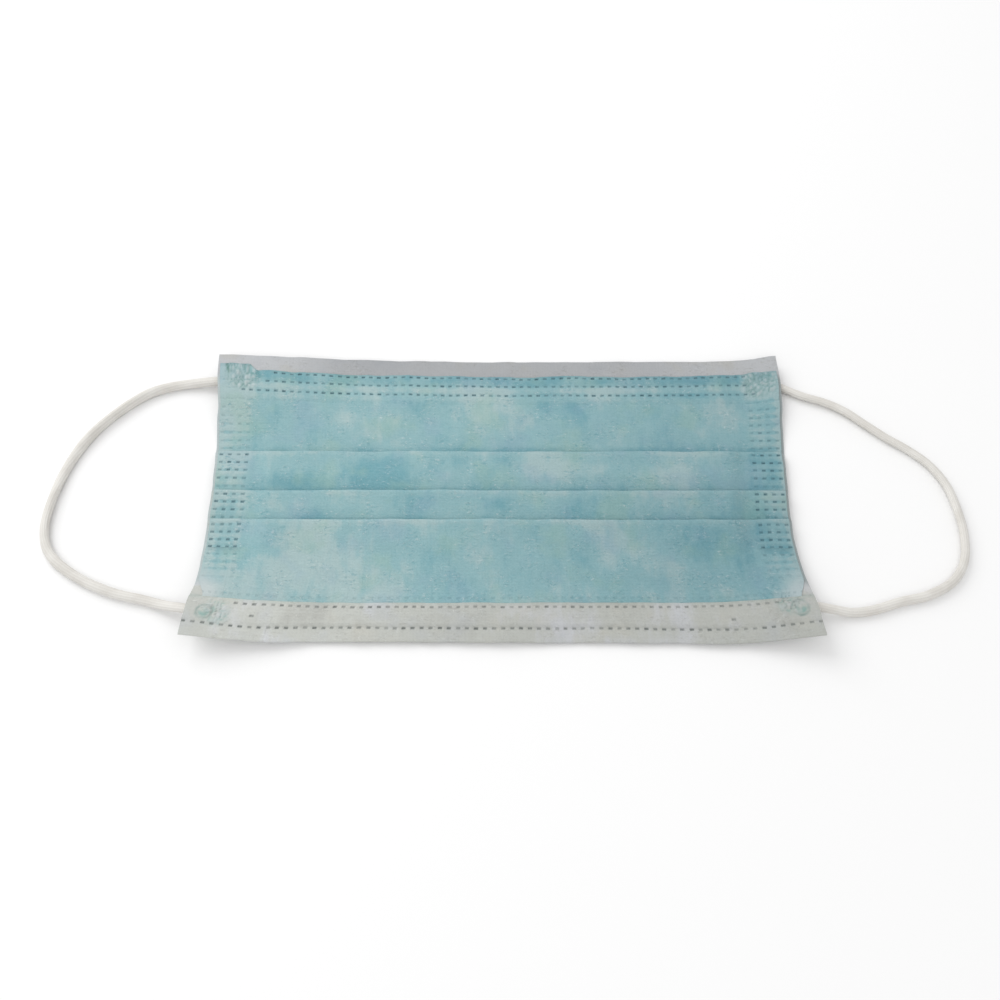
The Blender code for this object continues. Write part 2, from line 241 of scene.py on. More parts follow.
def settle(x, y, z):
    """Turn places of the straight-sided layout into places on the resting mask."""
    pressed = z * (1 - PRESS * ease((abs(x) - PRESS_START) / PRESS_RUN))
    up = np.where(z > 0, pressed, z) + cloth_waves(x, y) + corner_lift(x, y)
    sideways = SHEAR * y / HALF_HEIGHT + UNEVEN_X * PLANE_WAVES_X(x, y)
    lengthways = UNEVEN_Y * PLANE_WAVES_Y(x, y)
    lengthways -= TILT * x / HALF_WIDTH * ease((y - TILT_START) / TILT_RUN)
    lengthways += PRESS_SHIFT * np.where(z > 0, z - pressed, 0.0)
    lengthways += SHIFT_AT_NOSE(x) * ease((NOSE_SHIFT_START - y) / NOSE_SHIFT_RUN)
    scale = side_scale(x, y) * (1 - DRAW_PER_HEIGHT * np.maximum(pressed, 0.0))
    return np.stack([x * scale + sideways, y + lengthways, up], axis=-1)


def srgb(red, green, blue):
    """Linear colour from 0 to 255 values."""
    return tuple(((c / 255 + 0.055) / 1.055) ** 2.4 if c > 10 else c / 3294.6 for c in (red, green, blue))


# Camera, floor and light


CAMERA_ELEVATION = 61.19
CAMERA_DISTANCE = 0.3378
CAMERA_TARGET = (-0.00002, -0.00197, 0.0)
CAMERA_ROLL = -0.10
FOCAL_SHARE = 1.142  # focal length over the picture's width
SENSOR_WIDTH = 36.0
FLOOR_REACH = 6.0
SKY_STRENGTH = 0.78


def stand(name, data, axes, place):
    """Add a camera or light at a place, with its right, up and back axes."""
    stood = bpy.data.objects.new(name, data)
    bpy.context.scene.collection.objects.link(stood)
    turned = [[*row, at] for row, at in zip(np.stack(axes, axis=1), place)]
    stood.matrix_world = Matrix([*turned, [0, 0, 0, 1]])
    return stood


def add_camera():
    data = bpy.data.cameras.new("camera")
    data.sensor_width = SENSOR_WIDTH
    data.lens = SENSOR_WIDTH * FOCAL_SHARE
    data.clip_start, data.clip_end = 0.01, 20.0
    elevation, roll = radians(CAMERA_ELEVATION), radians(CAMERA_ROLL)
    back = np.array([0.0, -cos(elevation), sin(elevation)])
    level = np.array([1.0, 0.0, 0.0])
    upright = np.cross(back, level)
    right = level * cos(roll) + upright * sin(roll)
    up = upright * cos(roll) - level * sin(roll)
    place = np.array(CAMERA_TARGET) + back * CAMERA_DISTANCE
    bpy.context.scene.camera = stand("camera", data, (right, up, back), place)


def add_floor():
    corners = [(x * FLOOR_REACH, y * FLOOR_REACH, 0) for x, y in ((-1, -1), (1, -1), (1, 1), (-1, 1))]
    nodes = Nodes("pale_table")
    nodes.dress({"Base Color": (0.90, 0.90, 0.90, 1.0), "Roughness": 0.9, "Specular IOR Level": 0.1})
    floor = add_mesh("floor", corners, [(0, 1, 2, 3)], nodes.material, 50)


def add_softbox(name, place, size, power):
    """A square area light that points at the middle of the mask."""
    data = bpy.data.lights.new(name, "AREA")
    data.size = size
    data.energy = power
    back = unit(np.array(place))
    side = unit(np.cross([0.0, 1.0, 0.0], back))
    stand(name, data, (side, np.cross(back, side), back), place)


def add_light():
    """An even white sky, a soft key from behind on the left and a fill from the front."""
    world = bpy.data.worlds.new("studio")
    world.use_nodes = True
    sky = world.node_tree.nodes["Background"].inputs
    sky["Color"].default_value = (1.0, 1.0, 1.0, 1.0)
    sky["Strength"].default_value = SKY_STRENGTH
    bpy.context.scene.world = world
    bpy.context.scene.view_settings.view_transform = "Standard"
    add_softbox("key", (-0.56, 0.58, 0.62), 0.7, 4.7)
    add_softbox("fill", (-0.20, -0.80, 1.10), 0.9, 2.8)


# Ear loops


def loop_end_place(end):
    """Where the round cord meets the outer end of its pressed end."""
    x = end.side * (HALF_WIDTH - TAB_INSET + CLEARANCE)
    return settle(x, end.edge * (HALF_HEIGHT - end.inset), -CLEARANCE - CORD_RADIUS)


def smooth_curve(points):
    """Dense points on a Catmull-Rom curve through the given ones."""
    points = np.array(points)
    padded = np.vstack([2 * points[0] - points[1], points, 2 * points[-1] - points[-2]])
    t = np.arange(ROUTE_STEPS)[:, None] / ROUTE_STEPS
    dense = [b + 0.5 * ((c - a) * t + (2 * a - 5 * b + 4 * c - d) * t**2 + (3 * b - a - 3 * c + d) * t**3)
             for a, b, c, d in zip(padded, padded[1:], padded[2:], padded[3:])]
    return np.vstack([*dense, points[-1]])


def lengths_along(points):
    steps = np.linalg.norm(np.diff(points, axis=0), axis=1)
    return np.concatenate([[0.0], np.cumsum(steps)])


RING_SPACING = 0.0008
RIBS = 11
RING_POINTS = RIBS * 4
TURNS = 2 * pi * np.arange(RING_POINTS) / RING_POINTS
RIB = 0.5 + 0.5 * np.cos(RIBS * TURNS)
CORD_WIDE, CORD_NARROW = 0.00148, 0.00120
RIB_DEPTH = 0.00005
TWIST, SWELL = 0.9, 0.05  # how far the cord turns, and by what share its width varies


def add_elastic(name, node, rings, along, material):
    """A skin of covered elastic through rings of points, each at its place along the cord."""
    around = np.tile(TURNS * CORD_RADIUS, len(rings))
    cloth = np.stack([around / MM, np.repeat(along, RING_POINTS) / MM, 0 * around], axis=1)
    piece = add_tube(name, rings, material, 50, rib=np.tile(RIB, len(rings)), cloth=cloth)
    finish_piece(piece, "elastic", node)
    return piece


def cord_rings(centre, wide, narrow, twist):
    """Rings of points round an oval cord that is turned by twist about its middle line."""
    tangent = unit(np.gradient(centre, axis=0))
    side = unit(np.cross([0.0, 0.0, 1.0], tangent))
    up = np.cross(tangent, side)
    reach = 1 + RIB_DEPTH / CORD_RADIUS * (RIB - 0.5) * 2
    across, high = np.outer(wide, np.cos(TURNS) * reach), narrow * np.sin(TURNS) * reach
    c, s = np.cos(twist)[:, None], np.sin(twist)[:, None]
    level, upright = across * c - high * s, across * s + high * c
    return centre[:, None] + level[..., None] * side[:, None] + upright[..., None] * up[:, None]


def add_loop(name, node, ends, route, fullness, twist_seed, material):
    """An ear loop: a ribbed, slightly oval elastic cord that twists as it lies on the table."""
    places = [loop_end_place(end) for end in ends]
    curve = smooth_curve([places[0][:2], *route, places[1][:2]])
    travelled = lengths_along(curve)
    total = travelled[-1]
    along = np.linspace(0.0, total, round(total / RING_SPACING) + 1)
    x, y = (np.interp(along, travelled, values) for values in curve.T)
    twist = TWIST * waves(twist_seed, 5, 0.05, 0.16)(along, 0.0)
    wide = CORD_WIDE * fullness * (1 + SWELL * waves(twist_seed + 1, 6, 0.012, 0.04)(along, 0.0))
    narrow = CORD_NARROW * fullness
    rest = np.hypot(wide * np.sin(twist), narrow * np.cos(twist)) + RIB_DEPTH
    z = rest.copy()
    for place, distance in zip(places, (along, total - along)):
        z += (place[2] - rest) * (1 - ease(distance / CORD_RISE_RUN))
    centre = np.stack([x, y, z], axis=1)
    loop = add_elastic(name, node, cord_rings(centre, wide, narrow, twist), along, material)


# Meshes


def add_mesh(name, verts, faces, material, sharp_degrees, **attributes):
    """A smooth-shaded mesh, with a value or vector at each point for each attribute."""
    mesh = bpy.data.meshes.new(name)
    mesh.from_pydata(np.asarray(verts).tolist(), [], faces)
    mesh.update()
    mesh.materials.append(material)
    mesh.shade_smooth()
    mesh.set_sharp_from_angle(angle=radians(sharp_degrees))
    for key, values in attributes.items():
        values = np.asarray(values, dtype=np.float32)
        kind, slot = ("FLOAT_VECTOR", "vector") if values.ndim == 2 else ("FLOAT", "value")
        mesh.attributes.new(key, kind, "POINT").data.foreach_set(slot, values.ravel())
    piece = bpy.data.objects.new(name, mesh)
    bpy.context.scene.collection.objects.link(piece)
    return piece


def add_tube(name, rings, material, sharp_degrees, **attributes):
    """A closed skin through rings of points, with a flat cap at each end."""
    count = len(rings[0])
    last = (len(rings) - 1) * count
    nexts = [(j, (j + 1) % count) for j in range(count)]
    faces = [(i + a, i + b, i + b + count, i + a + count) for i in range(0, last, count) for a, b in nexts]
    faces += [tuple(range(count))[::-1], tuple(range(last, last + count))]
    return add_mesh(name, np.concatenate(rings), faces, material, sharp_degrees, **attributes)


def finish_piece(piece, slot, *nodes):
    """Say what a piece rides on and hide the solids that it stands for. slot, its finish, is not used."""
    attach(piece, "root")
    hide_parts(*nodes)


# Welds


def across(y, strength, start=-HALF_WIDTH, stop=HALF_WIDTH):
    return WeldRow(y, strength, strength, start, stop)


CHIN_ROWS = (across(0.0409, 1.0, -0.0712, 0.0795), across(0.0379, 0.85, -0.0745, 0.0780),
             across(0.0346, 0.95, -0.0812, 0.0800), across(0.0316, 0.15))
NOSE_ROWS = (across(-0.0342, 0.22),)
CRIMPS = (across(-0.0403, 0.9, -0.0705, -0.0695), across(-0.0408, 0.9, 0.0645, 0.0655))
BAND_ROWS = (across(-0.0370, 0.9, -0.0771, 0.0780), across(-0.0435, 1.0), *CRIMPS)
SIDE_ROWS = tuple(WeldRow(y * MM, left, right, None, None) for y, left, right in (
    (31.4, 0.15, 0.25), (28.7, 0.25, 0.4), (26.0, 0.35, 0.45), (23.4, 0.35, 0.45), (20.7, 0.3, 0.55),
    (18.0, 0.3, 0.6), (15.4, 0.3, 0.5), (11.7, 1, 1), (9.0, 1, 1), (6.35, 1, 1), (3.65, 0.85, 1),
    (1.1, 0.35, 0.35), (-2.4, 1, 1), (-4.7, 1, 1), (-7.1, 1, 1), (-9.5, 0.55, 0.5), (-12.7, 0.9, 0.9),
    (-14.9, 1, 1), (-17.2, 1, 1), (-19.4, 1, 1), (-21.8, 0.35, 0.45), (-24.2, 0.2, 0.3),
    (-26.6, 0.15, 0.25), (-29.0, 0.15, 0.2)))
OUTER_ROWS = (*CHIN_ROWS, *NOSE_ROWS, *SIDE_ROWS)


def nearest_dash(x, row):
    """The number of the nearest dash of a row, how far off its middle is, and if it is there."""
    if row.start is None:
        step = np.clip(np.rint((abs(x) - SIDE_FIRST) / SIDE_STEP), 0, SIDE_DASHES - 1)
        number = (step + 1) * np.sign(x)
        return number, abs(abs(x) - SIDE_FIRST - step * SIDE_STEP), True
    number = np.clip(np.rint(x / DASH_PITCH), -DASHES, DASHES)
    middle = number * DASH_PITCH
    return number, abs(x - middle), (middle >= row.start) & (middle <= row.stop)


def weld_at(x, y, rows):
    """How far the cloth is welded at each place, from 0 to 1."""
    found = np.zeros_like(x)
    for index, row in enumerate(rows):
        off_y = abs(y - row.y)
        if off_y.min() > DASH_REACH[1]:
            continue
        number, off_x, there = nearest_dash(x, row)
        in_x = np.clip((DASH_REACH[0] - off_x) / (DASH_REACH[0] - DASH_CORE[0]), 0, 1)
        in_y = np.clip((DASH_REACH[1] - off_y) / (DASH_REACH[1] - DASH_CORE[1]), 0, 1)
        varied = 0.50 + 0.50 * np.random.default_rng(DASH_SEED + index).random(2 * DASHES + 1)
        strength = np.where(x < 0, row.left, row.right) * varied[number.astype(int) + DASHES]
        found = np.maximum(found, in_x * in_y * there * strength)
    return found


# Plies


Row = namedtuple("Row", "y z ridge flags seen")


def height_below(index, y):
    """Height of the layer that leaves a pleat's hidden fold and climbs on the next pleat."""
    if index == len(PLEAT_EDGES) - 1:
        return FLOOR_LAYER
    back = PLEAT_EDGES[index] - PLEAT_DEPTH
    next_back = PLEAT_EDGES[index + 1] - PLEAT_DEPTH
    if y >= next_back:
        return height_below(index + 1, y) + 2 * PITCH
    return FLOOR_LAYER + 2 * PITCH * (y - back) / (next_back - back)


def height_above(index, y):
    return height_below(index - 1, y) if index else height_below(0, y) + 2 * PITCH


def first_climb(y):
    """Height of the top layer between the nose band and the first pleat."""
    start, end = MOUTH - CLEARANCE, PLEAT_EDGES[0] - PLEAT_DEPTH
    return FLOOR_LAYER + 2 * PITCH * np.clip((y - start) / (end - start), 0, 1)


def stops_between(low, high, welds, fine):
    """Places for rows of points, with how finely each row is divided along X."""
    wanted = []
    if fine:
        wanted += [(row.y + off, SIDE if row.start is None else ACROSS) for row in welds
                   for off in DASH_EDGES[1]]
        wanted += [(sign * y, CORNER) for sign in (-1, 1) for y in np.arange(*CORNER_Y, CORNER_SPACING)]
    count = int(HALF_HEIGHT / ROW_SPACING) + 1
    wanted += [(ROW_SPACING * step, 0) for step in range(-count, count + 1)]
    chosen = []
    for y, flag in wanted:
        if not low + ROW_MARGIN < y < high - ROW_MARGIN:
            continue
        near = any(abs(y - row.y) < DASH_REACH[1] + ROW_MARGIN for row in welds)
        if fine and near and flag in (0, CORNER):
            continue
        if any(abs(y - other) < ROW_MARGIN for other, _ in chosen):
            continue
        if fine and CORNER_Y[0] - CORNER_MARGIN < abs(y) < CORNER_Y[1] + CORNER_MARGIN:
            flag |= CORNER
        chosen.append((y, flag))
    return sorted(chosen)


def layer(start, end, height, welds, seen, ridge=lambda y: 0.0):
    """Rows of one layer. seen says from which to which place its face can be seen."""
    def shows(y):
        return bool(seen) and seen[0] <= y <= seen[1]

    low, high = min(start, end), max(start, end)
    cuts = sorted({low, high, *(place for place in seen or () if low < place < high)})
    stops = [(high, 0)]
    for first, last in zip(cuts, cuts[1:]):
        stops += [(first, 0), *stops_between(first, last, welds, shows((first + last) / 2))]
    return [Row(y, height(y), ridge(y), flags, shows(y)) for y, flags in sorted(stops, reverse=end < start)]


def half_turn(y, upper, lower, side, seen):
    """Rows of a fold at y that joins two layers and bulges to one side of it."""
    radius, middle = (upper - lower) / 2, (upper + lower) / 2
    angles = [pi * step / FOLD_STEPS for step in range(1, FOLD_STEPS)]
    return [Row(y + side * radius * sin(a), middle + radius * cos(a), 0.0, 0, seen) for a in angles]


def pleat_rows(start, welds, from_above):
    """Middle line of the laminate from start, through its pleats, to the chin edge."""
    reach = PITCH / 2 + PLY_OFFSET + PLY / 2
    begin = PLEAT_EDGES[0] - PLEAT_DEPTH
    rows = layer(start, begin, first_climb, welds, EVERYWHERE)[:-1]
    for index, edge in enumerate(PLEAT_EDGES):
        back, front = edge - PLEAT_DEPTH + reach, edge - reach
        lower, upper = partial(height_below, index), partial(height_above, index)

        def middle(y, lower=lower):
            return lower(y) + PITCH

        if from_above:
            seen = (PLEAT_EDGES[index - 1] if index else -1.0, 1.0)
        else:
            seen = (-1.0, edge - PLEAT_DEPTH)
        rows += layer(begin, front, upper, welds, seen)
        rows += half_turn(front, upper(front), middle(front), 1, from_above)
        rows += layer(front, back, middle, (), None)
        rows += half_turn(back, middle(back), lower(back), -1, not from_above)
        begin = back
    seen = (PLEAT_EDGES[-1], 1.0) if from_above else EVERYWHERE
    return rows + layer(begin, HALF_HEIGHT, lambda y: FLOOR_LAYER, welds, seen)


def ply_columns(half_width):
    """Places along X, each with the flags of the rows that have it."""
    columns = {}

    def use(x, flags, merge=COLUMN_MERGE):
        near = [other for other in columns if abs(other - x) < merge]
        for other in near:
            columns[other] |= flags
        if not near:
            columns[x] = flags

    for number in range(-DASHES - 1, DASHES + 1):
        columns[(number + 0.5) * DASH_PITCH] = EVERY_ROW
    dashes = [(number * DASH_PITCH, ACROSS) for number in range(-DASHES, DASHES + 1)]
    dashes += [(sign * (SIDE_FIRST + SIDE_STEP * step), SIDE) for sign in (-1, 1)
               for step in range(SIDE_DASHES)]
    for x, flag in dashes:
        for off in DASH_EDGES[0]:
            use(x + off, flag)
        if flag == ACROSS and BENT_X < abs(x) < CORNER_X:
            columns[x] = EVERY_ROW
    for sign in (-1, 1):
        for x in np.arange(CORNER_X, half_width - 0.95 * CORNER_SPACING, CORNER_SPACING):
            use(sign * x, CORNER, 0.6 * CORNER_SPACING)
    inside = [(x, flags) for x, flags in columns.items() if abs(x) < half_width - COLUMN_MERGE]
    return sorted([(-half_width, EVERY_ROW), *inside, (half_width, EVERY_ROW)])


def strip(lower, upper, x_of):
    """Triangles between two chains of points that run along X."""
    faces, i, j = [], 0, 0
    while i < len(lower) - 1 or j < len(upper) - 1:
        if j == len(upper) - 1 or (i < len(lower) - 1 and x_of[lower[i + 1]] <= x_of[upper[j + 1]]):
            faces.append((lower[i], lower[i + 1], upper[j]))
            i += 1
        else:
            faces.append((lower[i], upper[j + 1], upper[j]))
            j += 1
    return faces


def cells(grid, columns, x_of):
    """Quads between neighbouring rows, and triangles where one row is divided more finely."""
    faces = []
    for low, high in zip(grid, grid[1:]):
        shared = [c for c in range(len(columns)) if low[c] >= 0 and high[c] >= 0]
        for a, b in zip(shared, shared[1:]):
            chain_low = [low[c] for c in range(a, b + 1) if low[c] >= 0]
            chain_high = [high[c] for c in range(a, b + 1) if high[c] >= 0]
            if len(chain_low) == len(chain_high) == 2:
                faces.append((chain_low[0], chain_low[1], chain_high[1], chain_high[0]))
            else:
                faces += strip(chain_low, chain_high, x_of)
    return faces


def spread_points(rows, columns):
    """Numbers of each row's points, -1 where it has no such column, and each point's x and row."""
    grid, x_of, row_of = [], [], []
    for number, row in enumerate(rows):
        ids = []
        for x, flags in columns:
            if flags == EVERY_ROW or flags & row.flags:
                ids.append(len(x_of))
                x_of.append(x)
                row_of.append(number)
            else:
                ids.append(-1)
        grid.append(ids)
    return grid, np.array(x_of), np.array(row_of)


def rim(chain, count, flip):
    """Faces that join the two skins along one edge."""
    quads = [(a, a + count, b + count, b) for a, b in zip(chain, chain[1:])]
    return [quad[::-1] for quad in quads] if flip else quads


def skin(grid, columns, x):
    """Faces of both sides of a closed ply, whose back has its points after the front's."""
    count = len(x)
    front = cells(grid, columns, x)
    faces = front + [tuple(v + count for v in face)[::-1] for face in front]
    for chain, flip in ((grid[0], False), (grid[-1], True)):
        faces += rim([v for v in chain if v >= 0], count, flip)
    for column, flip in ((0, True), (-1, False)):
        faces += rim([ids[column] for ids in grid], count, flip)
    return faces


def add_ply(name, rows, half_width, side_offset, relief, paint, warp, material):
    """A thin closed ply, and its length. relief gives how high each side stands over its place."""
    columns = ply_columns(half_width)
    grid, x, row_of = spread_points(rows, columns)
    y, z, ridge, _, seen = (np.array(values) for values in zip(*rows))
    n_z, n_y = unit(np.stack([np.gradient(y), -np.gradient(z)], axis=1))[row_of].T
    over_wire = 1 - ease((abs(x) - WIRE_LENGTH / 2) / WIRE_FADE)
    base_y = y[row_of] + n_y * side_offset
    base_z = z[row_of] + n_z * side_offset + ridge[row_of] * over_wire
    places, welds = [], []
    for side in (1, -1):
        height, weld = relief(side, x, base_y, seen[row_of], n_z)
        reach = side * (PLY / 2 + height)
        places.append(settle(*warp(x, base_y + n_y * reach, base_z + n_z * reach)))
        welds.append(weld)
    run = lengths_along(np.stack([y, z], axis=1))
    cloth = np.stack([x / MM, run[row_of] / MM, np.zeros(len(x))], axis=1)
    painted = {key: np.tile(values, 2) for key, values in paint(x, base_y).items()}
    ply = add_mesh(name, np.concatenate(places), skin(grid, columns, x), material, 62,
                   weld=np.concatenate(welds), cloth=np.tile(cloth, (2, 1)), **painted)
    return ply, run[-1]


CUSHION_SPAN = 0.0045  # rows of welds further apart have no swell between them


def cushions(x, y, rows):
    """Swells between the rows of welds, from 0 to 1."""
    places = sorted(row.y for row in rows)
    swell = np.zeros_like(x)
    for low, high in zip(places, places[1:]):
        if high - low < CUSHION_SPAN:
            inside = (y > low) & (y < high)
            swell = np.where(inside, np.sin(pi * (y - low) / (high - low)), swell)
    return swell * (0.8 - 0.2 * np.cos(2 * pi * x / DASH_PITCH))


def beside(x):
    """1 in the welded strips along the sides."""
    return ease((abs(x) - 0.0762) / 0.0015) * (1 - ease((abs(x) - 0.0868) / 0.0012))


Patch = namedtuple("Patch", "x y reach hatch")
PATCHES = (Patch(-0.0800, 0.0402, 0.0042, 0.25), Patch(0.0820, 0.0380, 0.0038, 0.15),
           Patch(-0.0798, -0.0401, 0.0028, 0.45), Patch(0.0808, -0.0368, 0.0028, 0.5))
Ring = namedtuple("Ring", "x y radius")
RINGS = (Ring(-0.0829, -0.0403, 0.0020), Ring(0.0833, -0.0390, 0.0022))
Groove = namedtuple("Groove", "x low high height")
GROOVES = (Groove(-0.0850, 0.0393, 0.0438, -0.00016), Groove(0.0845, 0.0358, 0.0390, 0.00013))
HATCH = 0.0013
LINE_REACH = 0.0006
LINE_RUN = 0.0008
CORNER_DEPTH = 0.00014
Marks = namedtuple("Marks", "height weld stain fade")


def corner_marks(x, y):
    """What the press leaves near the corners, with painted shade in the crinkles' valleys and painted
    highlight on their crests.
    """
    height, weld, stain, fade = np.zeros((4, *x.shape))
    uneven = CRINKLES(x, y)
    shaded_valley = ease(1 - abs(uneven) / 0.30)
    for patch in PATCHES:
        off_x, off_y = x - patch.x, y - patch.y
        away = np.hypot(off_x, off_y)
        near = ease(1 - (away - patch.reach) / 0.003)
        warped = off_x + off_y + 0.0007 * uneven, off_x - off_y - 0.0005 * uneven
        grid = np.cos(pi * warped[0] / HATCH) * np.cos(pi * warped[1] / HATCH)
        inside = 1 - ease((away - 0.8 * patch.reach) / LINE_RUN)
        pressed = ease((grid - 0.15) / 0.5) * inside * patch.hatch
        height += near * (0.00022 * abs(uneven) - 0.00008) - CORNER_DEPTH * pressed
        weld = np.maximum(weld, pressed)
        # Stains near the patches, with painted shade where the crinkles sink into valleys
        stain = np.maximum(stain, near**2 * (0.16 + 0.10 * uneven + 0.42 * shaded_valley))
        # Painted highlight: the crinkles' crests are paled towards white
        fade = np.maximum(fade, 0.55 * near * ease((abs(uneven) - 0.55) / 0.7))
    for ring in RINGS:
        away = np.hypot(x - ring.x, y - ring.y)
        line = bump_at(away, ring.radius, LINE_REACH) * (0.65 + 0.35 * SHORT_WAVES(x * 3, y * 3))
        filled = ease((ring.radius - away) / 0.0009) * ease((ring.y - y + 0.0006 * uneven) / 0.0024 + 0.45)
        height -= CORNER_DEPTH * line
        weld = np.maximum(weld, 0.45 * line)
        stain = np.maximum(stain, np.maximum(0.75 * filled, 0.6 * line))
    for groove in GROOVES:
        line = bump_at(x + 0.0004 * SHORT_WAVES(x, y * 3), groove.x, LINE_REACH)
        line *= ease((y - groove.low) / LINE_RUN) * ease((groove.high - y) / LINE_RUN)
        height += groove.height * line
        stain = np.maximum(stain, line * (groove.height < 0))
    return Marks(height, weld, np.clip(stain, 0.0, 1.0), fade)


def outer_relief(side, x, y, seen, n_z):
    """Height and weld of the outer ply, whose upper side shows."""
    if side < 0:
        return np.zeros((2, len(x)))
    weld = weld_at(x, y, OUTER_ROWS) * seen
    swell = 0.8 * cushions(x, y, CHIN_ROWS)
    swell += beside(x) * cushions(x, y, SIDE_ROWS) * (y < SIDE_END)
    marks = corner_marks(x, y)
    flat = np.clip(n_z, 0, 1) * seen
    height = PUFF_HEIGHT * swell + marks.height - PIT_DEPTH * weld
    return height * flat, np.maximum(weld, marks.weld * seen)


def inner_relief(side, x, y, seen, n_z):
    """Height and weld of the inner ply, whose side that shows has its normal turned down."""
    if side > 0:
        return np.zeros((2, len(x)))
    on_flap = n_z < 0
    flap_weld = weld_at(x, y, BAND_ROWS) * on_flap
    under_weld = weld_at(x, y, (*BAND_ROWS, *OUTER_ROWS)) * ~on_flap * seen
    weld = np.maximum(flap_weld, under_weld)
    marks = corner_marks(x, y)
    swell = 0.6 * cushions(x, y, CHIN_ROWS) + 0.6 * beside(x) * cushions(x, y, SIDE_ROWS)
    flap = marks.height + FLAP_CRINKLE * SHORT_WAVES(x * 2.2, y)
    up = np.where(on_flap, flap, -PUFF_HEIGHT * 0.4 * (1 - swell)) * seen
    return up - INNER_PIT_DEPTH * weld, np.maximum(weld, marks.weld * on_flap)


def outer_warp(x, y, z):
    """The cut edge at the chin isn't straight, and the ply is narrower towards the nose corners."""
    share = ease((y - 0.0386) / 0.0031)
    reach = 0.00020 * EDGE_WAVES(x, 0 * x) + 0.0023 * ease((-0.0755 - x) / 0.0030)
    reach += 0.0007 * bump_at(x, 0.0805, 0.0050)
    narrower = 0.0026 * ease((-0.0295 - y) / 0.0065) * ease((abs(x) - 0.079) / 0.008)
    return x - np.sign(x) * narrower, y + reach * share, z


def inner_warp(x, y, z):
    """The cut and folded edges are a little uneven."""
    return x, y + UNEVEN_Y * EDGE_WAVES(x, y * 0) * ease((abs(y) - 0.0445) / 0.003), z


Spot = namedtuple("Spot", "x y reach_x reach_y tone")
SPOTS = [Spot(*(value * MM for value in spot[:4]), spot[4]) for spot in (
    (-50, -32, 46, 20, -1.05), (-62, -15, 20, 7, -0.3), (35, -17, 16, 10, -0.4), (61, -15, 19, 11, 0.6),
    (-62, 2.5, 18, 7, 1.0), (-38, 5, 18, 9, 0.95), (24, 6, 28, 8, -0.6), (0, -6, 24, 6, 0.5),
    # The long thin spot at 14.6 mm is painted shade just beyond the top pleat's fold
    (-62, -6, 18, 4, -0.4), (8, -29, 18, 11, 0.3), (38, -34, 20, 7, -0.4), (0, 14.6, 90, 2.2, 0.45),
    (60, 34.5, 34, 3.5, 0.8))]


def spotted(x, y):
    """Broad soft places where the cloth lies paler or deeper in colour; one is painted shade beyond the top
    fold.
    """
    away = [np.hypot((x - spot.x) / spot.reach_x, (y - spot.y) / spot.reach_y) for spot in SPOTS]
    return sum(spot.tone * ease(1 - off) for spot, off in zip(SPOTS, away))


SHADE_RIGHT = 0.52
MARGIN_START, MARGIN_RUN = 0.0385, 0.001  # where the inner ply shows beyond the outer one


def outer_paint(x, y):
    """Colour depth over or under its mean, with painted shade and highlight at folds and swells; how far
    shaded, discoloured and paled.
    """
    cloudy = 0.65 + 0.35 * LONG_WAVES(x * 3, y * 2)
    # Painted highlight: the swells between welds are painted paler where they catch the light
    puff_highlight = beside(x) * cushions(x, y, SIDE_ROWS) + 0.4 * cushions(x, y, CHIN_ROWS)
    edge_band = bump_at(y, 0.0398, 0.0026)
    tone = spotted(x, y) + 1.25 * edge_band * cloudy - 0.25 * bump_at(y, 0.0360, 0.0019)
    tone += 0.9 * (x >= 0) * beside(x) * (abs(y + 0.003) < 0.0185) * cloudy
    # Painted shade on the lower layer just beyond each fold, where the fold's step shades it, and painted
    # highlight on the fold's rounded edge just before it
    for edge in PLEAT_EDGES:
        beyond = np.exp(-np.maximum(y - edge, 0.0) / 0.0022) * (y > edge - 0.0001)
        tone += 0.9 * beyond * cloudy - 0.35 * bump_at(y, edge - 0.0012, 0.0016)
    marks = corner_marks(x, y)
    near_corner = ease((abs(x) - 0.0755) / 0.003) * ease((abs(y) - 0.030) / 0.005)
    shade = SHADE_RIGHT * ease((x + 0.045) / 0.13) * (1 + 0.37 * ease((0.02 - y) / 0.04))
    shade += 0.15 * edge_band + 0.35 * ease((y - 0.0409) / 0.0006)
    at_edge = ease((abs(x) - 0.0852) / 0.0020)
    at_nose_corner = ease((abs(x) - 0.0775) / 0.0085) * ease((-0.0245 - y) / 0.0090)
    return {"tone": tone - 1.2 * near_corner - 0.8 * puff_highlight - 1.2 * at_edge, "shade": shade,
            "stain": marks.stain * (y > 0),
            "fade": np.maximum(marks.fade * (y > 0), 0.85 * at_nose_corner)}


def inner_paint(x, y):
    """The same for the inner ply."""
    marks = corner_marks(x, y)
    on_margin = ease((y - MARGIN_START) / MARGIN_RUN)
    beside_blue = ease((abs(x) - 0.0858) / 0.0008) * ease((y + 0.033) / 0.003) * ease((0.041 - y) / 0.002)
    band = 0.42 * ease((x + 0.075) / 0.09) + 0.12 * ease((x - 0.01) / 0.08)
    band += np.where(x < 0, 0.15, 0.60) * beside_blue
    margin = 0.88 - np.where(x < 0, 0.39, 0.17) * ease((abs(x) - 0.04) / 0.035)
    stain = np.maximum(marks.stain * (y < 0), 0.16 * bump_at(y, MOUTH, 0.0012))
    return {"tone": 0.3 * LONG_WAVES(x, y) - 1.9 * np.maximum(on_margin, beside_blue),
            "shade": band + (margin - band) * on_margin,
            "stain": np.maximum(stain, 0.30 * beside_blue), "fade": marks.fade * (y < 0)}


